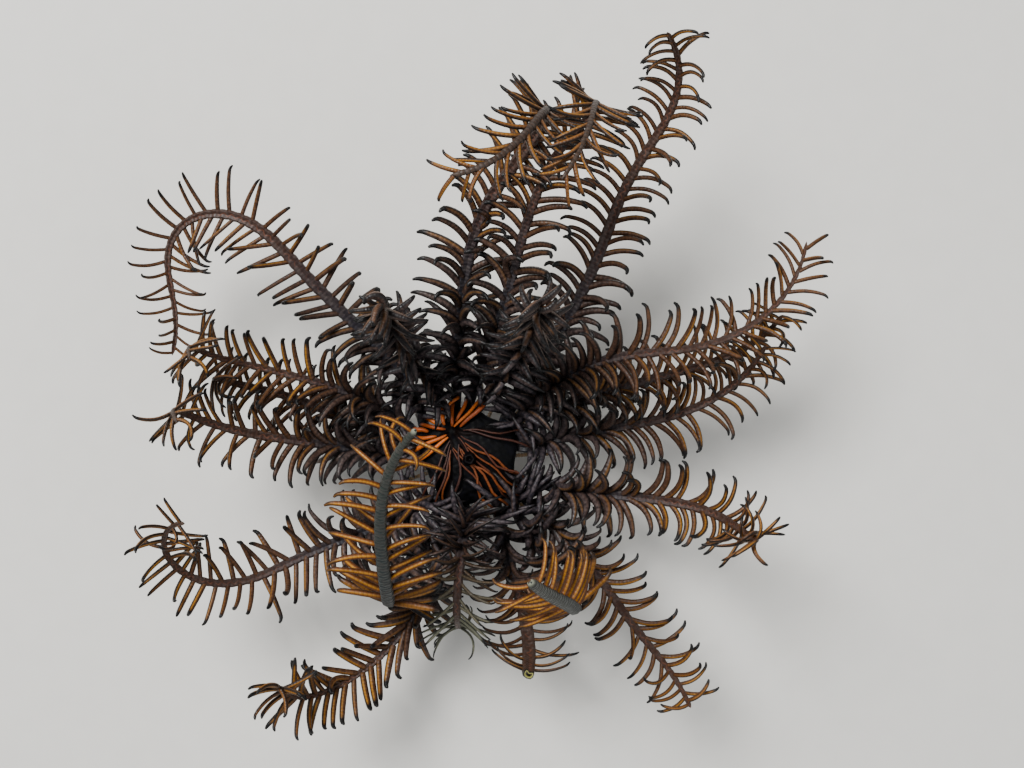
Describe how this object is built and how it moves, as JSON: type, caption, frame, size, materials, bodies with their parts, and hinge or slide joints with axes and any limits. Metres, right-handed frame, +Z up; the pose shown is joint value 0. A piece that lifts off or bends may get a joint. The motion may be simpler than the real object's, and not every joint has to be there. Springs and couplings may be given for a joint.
{
  "type": "feather star",
  "caption": "Comatulid feather star on jointed cirri, dark disc with off-centre mouth, long arms fringed with pinnules, some spread and some curled back over the disc.",
  "frame": {"origin": "centre of the bounding box in plan, on the floor under the cirri", "axes": "+Z up, toward the mouth side; the picture looks straight down, with its right side along +X and its top along +Y"},
  "size_m": [0.14, 0.1366, 0.0826],
  "materials": {
    "arm": "matt, thin skin over jointed calcite ossicles, pinnules dark with an orange ridge",
    "ray": "matt, slate grey, jointed",
    "disc": "moist leathery skin, blue-black",
    "anal_cone": "moist leathery skin",
    "centrodorsal": "matt, jointed cirri, yellow-brown"
  },
  "bodies": {
    "root": {"anal_cone": "anal_cone", "arm_A1_base": "arm", "arm_A1_tip": "arm", "arm_A2_base": "arm", "arm_A2_tip": "arm", "arm_A3_base": "arm", "arm_A3_tip": "arm", "arm_A4_base": "arm", "arm_A4_tip": "arm", "arm_B1_base": "arm", "arm_B1_tip": "arm", "arm_B2_base": "arm", "arm_B2_bend": "arm", "arm_B2_middle": "arm", "arm_B2_tip": "arm", "arm_B3_base": "arm", "arm_B3_bend": "arm", "arm_B3_middle": "arm", "arm_B3_tip": "arm", "arm_B4_base": "arm", "arm_B4_tip": "arm", "arm_C1_base": "arm", "arm_C1_middle": "arm", "arm_C1_tip": "arm", "arm_C2_base": "arm", "arm_C2_tip": "arm", "arm_C3_base": "arm", "arm_C3_tip": "arm", "arm_C4_base": "arm", "arm_C4_tip": "arm", "arm_D1_base": "arm", "arm_D1_tip": "arm", "arm_D2_base": "arm", "arm_D2_middle": "arm", "arm_D2_tip": "arm", "arm_D3_base": "arm", "arm_D3_tip": "arm", "arm_D4_base": "arm", "arm_D4_tip": "arm", "arm_E1_base": "arm", "arm_E1_tip": "arm", "arm_E2_base": "arm", "arm_E2_middle": "arm", "arm_E2_tip": "arm", "arm_E3_base": "arm", "arm_E3_tip": "arm", "arm_E4_base": "arm", "arm_E4_tip": "arm", "centrodorsal": "centrodorsal", "disc": "disc", "radials": "ray", "ray_A": "ray", "ray_B": "ray", "ray_C": "ray", "ray_D": "ray", "ray_E": "ray"}
  },
  "joints": []
}
